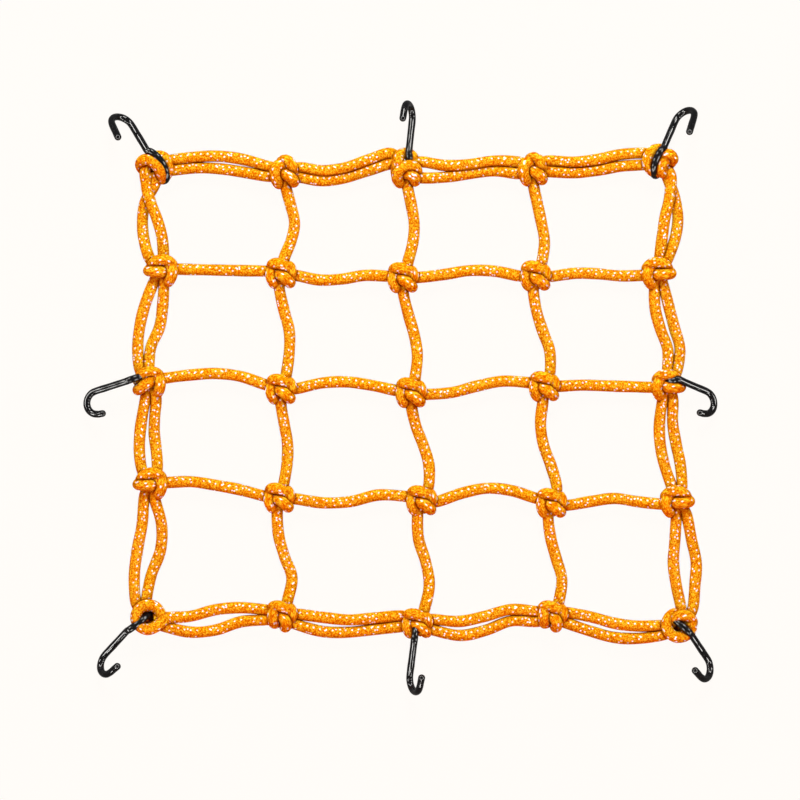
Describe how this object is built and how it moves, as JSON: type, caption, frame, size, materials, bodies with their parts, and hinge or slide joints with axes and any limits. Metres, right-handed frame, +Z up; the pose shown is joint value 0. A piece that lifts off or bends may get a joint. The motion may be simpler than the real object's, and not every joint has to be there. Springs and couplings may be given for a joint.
{
  "type": "cargo net",
  "caption": "Stretchy square-mesh cord net, lying flat, with bent wire hooks round its rim that hold a load down on a rack or seat.",
  "frame": {"origin": "on the surface that the net lies on, under the middle of the whole outline, hooks included", "axes": "+X to the right of the net as pictured, +Y to its top edge, +Z up from the surface"},
  "size_m": [0.359, 0.3362, 0.0224],
  "materials": {
    "cord": "braided, with small bright reflective yarns",
    "coated_wire": "gloss"
  },
  "bodies": {
    "root": {"net": "cord", "hook_top_left": "coated_wire", "hook_top_middle": "coated_wire", "hook_top_right": "coated_wire", "hook_left_middle": "coated_wire", "hook_right_middle": "coated_wire", "hook_bottom_left": "coated_wire", "hook_bottom_middle": "coated_wire", "hook_bottom_right": "coated_wire"}
  },
  "joints": []
}
